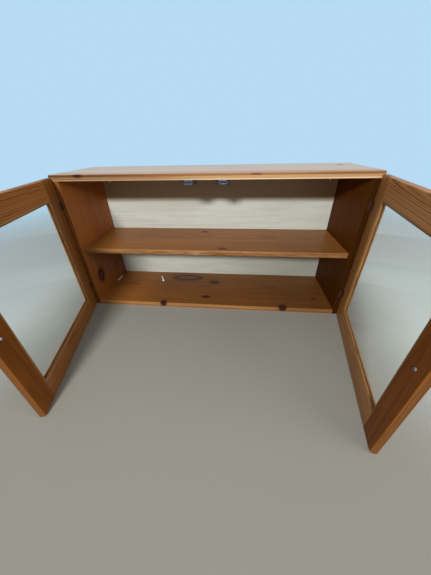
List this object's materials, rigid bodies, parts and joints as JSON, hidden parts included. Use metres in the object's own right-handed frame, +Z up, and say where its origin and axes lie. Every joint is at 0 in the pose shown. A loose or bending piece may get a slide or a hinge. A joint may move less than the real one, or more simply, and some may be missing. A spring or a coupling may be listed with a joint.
{
  "type": "glazed wall cabinet",
  "caption": "Low, wide stained-pine wall cabinet with glazed doors on butt hinges, a loose shelf, magnetic catches and keyhole hangers",
  "frame": {"origin": "middle of the base's footprint: mid-width, mid-depth, on the floor", "axes": "+X to the right as seen from in front, the doors face -Y, the back faces +Y, +Z up"},
  "size_m": [0.8089, 0.6031, 0.4],
  "materials": {
    "stained_pine": "satin varnish",
    "plywood": "raw",
    "dowel_wood": "raw",
    "window_glass": "clear, polished",
    "dark_hinge_metal": "dark bronzed",
    "bright_steel": "zinc plated",
    "black_plastic": "moulded",
    "magnet": "ground ferrite"
  },
  "bodies": {
    "carcass": {"top_board": "stained_pine", "bottom_board": "stained_pine", "left_side": "stained_pine", "right_side": "stained_pine", "back_panel": "plywood", "carcass_dowels": "dowel_wood", "left_carcass_leaves": "dark_hinge_metal", "right_carcass_leaves": "dark_hinge_metal", "left_hinge_pins": "dark_hinge_metal", "right_hinge_pins": "dark_hinge_metal", "carcass_leaf_screws": "dark_hinge_metal", "back_nails": "bright_steel", "spare_screws": "bright_steel", "catch_screws": "bright_steel", "hanger_bolts": "bright_steel", "hanger_screws": "bright_steel", "hanger_nuts": "bright_steel", "shelf_pins": "bright_steel", "left_hanger": "bright_steel", "right_hanger": "bright_steel", "left_catch_poles": "bright_steel", "right_catch_poles": "bright_steel", "left_catch_housing": "black_plastic", "right_catch_housing": "black_plastic", "left_catch_magnet": "magnet", "right_catch_magnet": "magnet"},
    "shelf": {"shelf": "stained_pine"},
    "left_door": {"left_hinge_stile": "stained_pine", "left_meeting_stile": "stained_pine", "left_top_rail": "stained_pine", "left_bottom_rail": "stained_pine", "left_glass": "window_glass", "left_beads": "stained_pine", "left_door_dowels": "dowel_wood", "left_knob": "stained_pine", "left_knob_screw": "bright_steel", "left_strike_plate": "bright_steel", "left_strike_screw": "bright_steel", "left_door_leaves": "dark_hinge_metal", "left_door_leaf_screws": "dark_hinge_metal"},
    "right_door": {"right_hinge_stile": "stained_pine", "right_meeting_stile": "stained_pine", "right_top_rail": "stained_pine", "right_bottom_rail": "stained_pine", "right_glass": "window_glass", "right_beads": "stained_pine", "right_door_dowels": "dowel_wood", "right_knob": "stained_pine", "right_knob_screw": "bright_steel", "right_strike_plate": "bright_steel", "right_strike_screw": "bright_steel", "right_door_leaves": "dark_hinge_metal", "right_door_leaf_screws": "dark_hinge_metal"}
  },
  "joints": [
    {"name": "left_door_hinge", "type": "hinge", "parent": "carcass", "child": "left_door", "pos_m": [-0.393, -0.1055, 0], "axis": [0, 0, -1], "range_deg": [-74.7, 20.3]},
    {"name": "right_door_hinge", "type": "hinge", "parent": "carcass", "child": "right_door", "pos_m": [0.393, -0.1055, 0], "axis": [0, 0, 1], "range_deg": [-79.6, 15.4]},
    {"name": "shelf_lift", "type": "slide", "parent": "carcass", "child": "shelf", "axis": [0, 0, 1], "range_m": [0, 0.152]}
  ]
}
